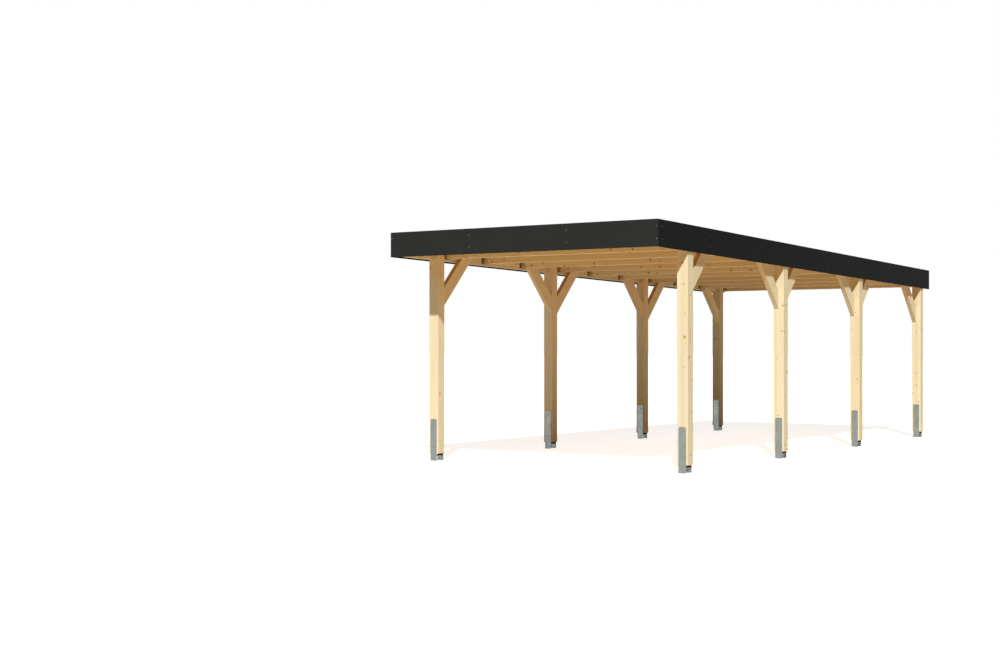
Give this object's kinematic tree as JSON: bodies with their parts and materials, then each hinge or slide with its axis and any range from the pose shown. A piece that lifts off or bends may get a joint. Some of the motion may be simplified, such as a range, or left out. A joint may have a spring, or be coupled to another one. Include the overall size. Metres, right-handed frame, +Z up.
{
  "type": "carport",
  "caption": "Flat-roofed timber carport: square posts on steel anchors, diagonal braces, purlins, joists in hangers, boarded roof and a dark fascia; open on every side.",
  "frame": {"origin": "on the ground under the middle of the roof", "axes": "+Z up, +X to the right seen from the front, +Y from the front to the back, along the carport's length"},
  "size_m": [3.215, 8.228, 2.484],
  "materials": {
    "glulam": "planed, untreated spruce, glued laminated",
    "brace_wood": "planed, untreated spruce",
    "roof_wood": "planed, untreated spruce",
    "deck_boards": "tongued and grooved boards, planed underside",
    "galvanised": "hot-dip galvanised, dull",
    "fascia": "matt anthracite coating",
    "membrane": "matt dark roofing membrane"
  },
  "bodies": {
    "root": {"post_left_1": "glulam", "anchor_left_1": "galvanised", "brace_left_1": "brace_wood", "post_left_2": "glulam", "anchor_left_2": "galvanised", "brace_left_2": "brace_wood", "post_left_3": "glulam", "anchor_left_3": "galvanised", "brace_left_3": "brace_wood", "post_left_4": "glulam", "anchor_left_4": "galvanised", "brace_left_4": "brace_wood", "purlin_left": "roof_wood", "fascia_left": "fascia", "post_right_1": "glulam", "anchor_right_1": "galvanised", "brace_right_1": "brace_wood", "post_right_2": "glulam", "anchor_right_2": "galvanised", "brace_right_2": "brace_wood", "post_right_3": "glulam", "anchor_right_3": "galvanised", "brace_right_3": "brace_wood", "post_right_4": "glulam", "anchor_right_4": "galvanised", "brace_right_4": "brace_wood", "purlin_right": "roof_wood", "fascia_right": "fascia", "joist_01": "roof_wood", "joist_02": "roof_wood", "joist_03": "roof_wood", "joist_04": "roof_wood", "joist_05": "roof_wood", "joist_06": "roof_wood", "joist_07": "roof_wood", "joist_08": "roof_wood", "joist_09": "roof_wood", "joist_10": "roof_wood", "joist_11": "roof_wood", "joist_hangers": "galvanised", "fascia_front": "fascia", "fascia_rear": "fascia", "roof_deck": "deck_boards", "edge_battens": "roof_wood", "roof_membrane": "membrane"}
  },
  "joints": []
}
